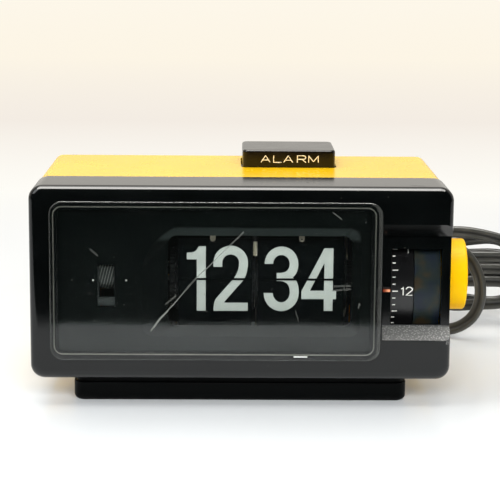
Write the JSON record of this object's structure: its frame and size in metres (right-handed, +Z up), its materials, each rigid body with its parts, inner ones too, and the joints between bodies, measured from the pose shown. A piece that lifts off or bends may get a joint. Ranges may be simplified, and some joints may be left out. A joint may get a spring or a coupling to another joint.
{
  "type": "alarm clock",
  "caption": "Split-flap alarm clock with black front, yellow rear case, thumbwheel alarm drum, side setting knob, top alarm button and tied mains cord.",
  "frame": {"origin": "middle of the plinth's flat underside, on the table", "axes": "+X to the reader's right, -Y out of the front, +Z up"},
  "size_m": [0.3334, 0.2047, 0.1029],
  "materials": {
    "front_black": "high gloss moulded black",
    "window_clear": "clear acrylic, lightly scratched",
    "mask_black": "fine matt",
    "case_yellow": "glossy moulded yellow",
    "plinth_black": "gloss",
    "sheet_steel": "plated sheet",
    "turned_steel": "turned, bright",
    "gear_white": "natural acetal",
    "spool_black": "moulded",
    "leaf_black": "matt sheet with printed figures",
    "catch_pale": "spring strip",
    "lamp_glass": "glass tube",
    "drum_black": "satin with printed scale",
    "grip_dark": "fine ribs",
    "pointer_orange": "satin orange",
    "knob_yellow": "glossy moulded yellow",
    "motor_steel": "zinc grey",
    "roller_dark": "printed with slanted lines",
    "belt_rubber": "matt",
    "bracket_grey": "moulded grey",
    "coil_copper": "lacquered wire",
    "button_black": "gloss, lettered front",
    "switch_black": "moulded",
    "cord_grey": "soft dark grey vinyl",
    "tie_black": "twist tie",
    "plug_dark": "moulded on",
    "blade_brass": "nickel-dulled brass"
  },
  "bodies": {
    "case": {"front_bezel": "front_black", "window_lens": "window_clear", "dial_mask": "mask_black", "rear_case": "case_yellow", "base_plinth": "plinth_black", "chassis_left": "sheet_steel", "chassis_right": "sheet_steel", "chassis_base": "sheet_steel", "tie_rods": "turned_steel", "flap_axle": "turned_steel", "transfer_bracket": "sheet_steel", "hour_lower_leaf": "leaf_black", "minute_lower_leaf": "leaf_black", "hour_leaves": "leaf_black", "minute_leaves": "leaf_black", "hour_catch": "catch_pale", "minute_catch": "catch_pale", "glow_lamp": "lamp_glass", "lamp_holder": "sheet_steel", "drum_axle": "turned_steel", "alarm_lever": "sheet_steel", "alarm_pointer": "pointer_orange", "motor_can": "motor_steel", "motor_mount": "sheet_steel", "drive_belt": "belt_rubber", "roller_bracket": "bracket_grey", "buzzer_bracket": "sheet_steel", "buzzer_coil": "coil_copper", "button_guide": "mask_black", "button_springs": "turned_steel", "alarm_switch": "switch_black", "case_screws": "turned_steel", "plinth_fixings": "turned_steel", "cord_boot": "cord_grey", "mains_cord": "cord_grey", "cord_tail": "cord_grey", "cord_hank": "cord_grey", "hank_tie": "tie_black", "plug_body": "plug_dark", "plug_blades": "blade_brass"},
    "setting_knob": {"time_knob": "knob_yellow", "knob_shaft": "turned_steel", "knob_pinion": "gear_white"},
    "alarm_drum": {"alarm_dial": "drum_black", "alarm_grip": "grip_dark", "alarm_cam": "gear_white"},
    "minute_wheel": {"minute_spool": "spool_black", "minute_gear": "gear_white"},
    "hour_wheel": {"hour_spool": "spool_black", "hour_gear": "spool_black"},
    "transfer_wheel": {"transfer_pinion": "gear_white"},
    "lay_train": {"lay_shaft": "turned_steel", "lay_gear": "gear_white"},
    "motor_rotor": {"motor_pinion": "gear_white"},
    "indicator": {"indicator_roller": "roller_dark", "roller_axle": "turned_steel"},
    "hour_flap": {"hour_falling_leaf": "leaf_black"},
    "minute_flap": {"minute_falling_leaf": "leaf_black"},
    "button": {"alarm_button": "button_black"},
    "buzzer_armature": {"buzzer_reed": "sheet_steel"}
  },
  "joints": [
    {"name": "knob_turn", "type": "hinge", "parent": "case", "child": "setting_knob", "pos_m": [0.095, -0.011, 0.0503], "axis": [1, 0, 0], "continuous": true},
    {"name": "minute_turn", "type": "hinge", "parent": "case", "child": "minute_wheel", "pos_m": [0.026, -0.02322, 0.0505], "axis": [1, 0, 0], "continuous": true},
    {"name": "hour_turn", "type": "hinge", "parent": "case", "child": "hour_wheel", "pos_m": [-0.011, -0.02322, 0.0505], "axis": [1, 0, 0], "continuous": true},
    {"name": "lay_turn", "type": "hinge", "parent": "case", "child": "lay_train", "pos_m": [0, 0.00921, 0.0505], "axis": [1, 0, 0], "continuous": true},
    {"name": "rotor_turn", "type": "hinge", "parent": "case", "child": "motor_rotor", "pos_m": [-0.04, -0.00389, 0.0505], "axis": [1, 0, 0], "continuous": true},
    {"name": "indicator_turn", "type": "hinge", "parent": "case", "child": "indicator", "pos_m": [-0.0575, -0.0418, 0.0562], "axis": [1, 0, 0], "continuous": true},
    {"name": "transfer_turn", "type": "hinge", "parent": "case", "child": "transfer_wheel", "pos_m": [0.006, -0.01236, 0.03755], "axis": [1, 0, 0], "continuous": true},
    {"name": "drum_turn", "type": "hinge", "parent": "case", "child": "alarm_drum", "pos_m": [0.075, -0.011, 0.0503], "axis": [1, 0, 0], "continuous": true},
    {"name": "hour_flap_fall", "type": "hinge", "parent": "case", "child": "hour_flap", "pos_m": [-0.0112, -0.0356, 0.05225], "axis": [1, 0, 0], "range_deg": [0, 175]},
    {"name": "minute_flap_fall", "type": "hinge", "parent": "case", "child": "minute_flap", "pos_m": [0.02635, -0.0356, 0.05225], "axis": [1, 0, 0], "range_deg": [0, 175]},
    {"name": "button_press", "type": "slide", "parent": "case", "child": "button", "axis": [0, 0, -1], "range_m": [0, 0.003], "stiffness_N_per_m": 400, "springref_m": -0.002, "deforming": ["button_springs"]},
    {"name": "reed_beat", "type": "hinge", "parent": "case", "child": "buzzer_armature", "pos_m": [-0.08125, 0.03, 0.0356], "axis": [0, 1, 0], "range_deg": [0, 4], "stiffness_Nm_per_rad": 0.05, "springref_deg": -1.15}
  ],
  "couplings": [
    {"joint": "minute_turn", "follows": "knob_turn", "ratio": -0.5},
    {"joint": "hour_turn", "follows": "knob_turn", "ratio": -0.020833},
    {"joint": "lay_turn", "follows": "knob_turn", "ratio": 0.16667},
    {"joint": "rotor_turn", "follows": "knob_turn", "ratio": -0.55556},
    {"joint": "indicator_turn", "follows": "knob_turn", "ratio": -0.55556},
    {"joint": "transfer_turn", "follows": "knob_turn", "ratio": 0.10417}
  ]
}
